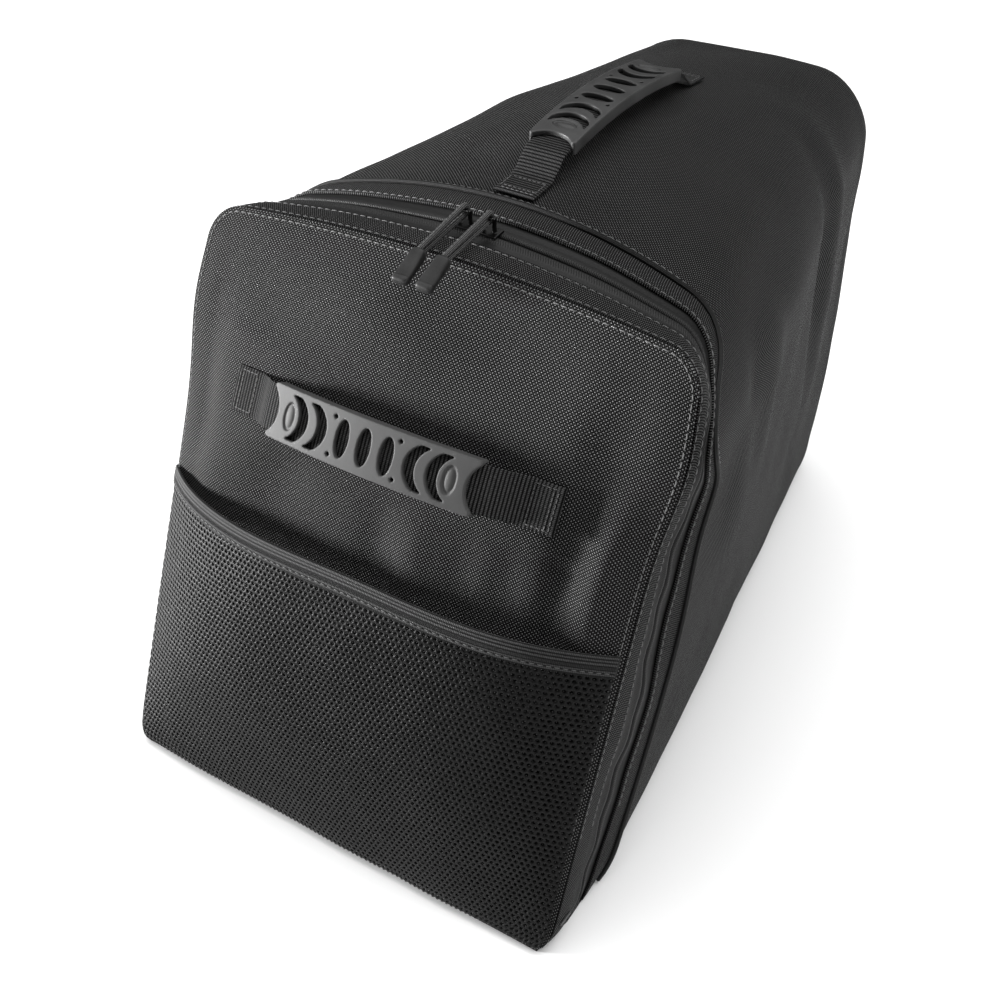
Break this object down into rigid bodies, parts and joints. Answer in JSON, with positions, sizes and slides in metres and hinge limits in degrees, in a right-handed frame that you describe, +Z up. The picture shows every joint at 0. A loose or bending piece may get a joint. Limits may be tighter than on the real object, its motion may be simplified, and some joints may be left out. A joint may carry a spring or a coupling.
{
  "type": "shoe bag",
  "caption": "Soft wedge-shaped shoe bag with a full zipped front door, two sliders with cord pulls, mesh pocket and a gripped webbing handle on top and front.",
  "frame": {"origin": "middle of the flat bottom panel's underside", "axes": "+Z up, front door faces -Y, symmetric about X = 0"},
  "size_m": [0.305, 0.5205, 0.3533],
  "materials": {
    "cloth": "matte woven polyester",
    "door_cloth": "matte woven polyester",
    "zip": "smooth zip tape",
    "coil": "satin",
    "mesh": "open knitted mesh",
    "trim": "ribbed tape",
    "webbing": "ribbed webbing",
    "grip": "soft matte",
    "thread": "matte thread",
    "metal": "gloss black",
    "cord": "braided cord",
    "tip": "satin"
  },
  "bodies": {
    "body": {"body_shell": "cloth", "rear_panel": "cloth", "bottom_panel": "cloth", "body_strip": "cloth", "body_zip_tape": "zip", "body_zip_coil": "coil", "body_piping": "trim", "left_body_binding": "trim", "right_body_binding": "trim", "top_handle_webbing": "webbing"},
    "door": {"front_panel": "door_cloth", "door_strip": "door_cloth", "door_zip_tape": "zip", "door_zip_coil": "coil", "mesh_pocket": "mesh", "pocket_binding": "trim", "front_handle_webbing": "webbing", "left_bartack": "thread", "right_bartack": "thread"},
    "top_grip": {"top_handle_grip": "grip"},
    "front_grip": {"front_handle_grip": "grip"},
    "left_slide": {"left_slider": "metal"},
    "right_slide": {"right_slider": "metal"},
    "left_pull": {"left_pull_cord": "cord", "left_pull_tip": "tip"},
    "right_pull": {"right_pull_cord": "cord", "right_pull_tip": "tip"}
  },
  "joints": [
    {"name": "door_hinge", "type": "hinge", "parent": "body", "child": "door", "pos_m": [0, -0.2575, 0], "axis": [1, 0, 0], "range_deg": [0, 85]},
    {"name": "left_slider_run", "type": "slide", "parent": "door", "child": "left_slide", "axis": [-0.9985, -0.0199, -0.0518], "range_m": [0, 0.045]},
    {"name": "right_slider_run", "type": "slide", "parent": "door", "child": "right_slide", "axis": [0.9985, -0.0199, -0.0518], "range_m": [0, 0.045]},
    {"name": "left_pull_swing", "type": "hinge", "parent": "left_slide", "child": "left_pull", "pos_m": [-0.00742, -0.10642, 0.33135], "axis": [-0.9997, 0, -0.0259], "range_deg": [0, 150]},
    {"name": "right_pull_swing", "type": "hinge", "parent": "right_slide", "child": "right_pull", "pos_m": [0.00742, -0.10642, 0.33135], "axis": [-0.9997, 0, 0.0259], "range_deg": [0, 150]},
    {"name": "top_grip_shift", "type": "hinge", "parent": "body", "child": "top_grip", "pos_m": [0, 0.03415, 0.00918], "axis": [-1, 0, 0], "range_deg": [-0.5, 0.5]},
    {"name": "front_grip_shift", "type": "hinge", "parent": "door", "child": "front_grip", "pos_m": [0, 0.09686, 0.08689], "axis": [0, 0.4633, 0.8862], "range_deg": [-0.5, 0.5]}
  ]
}
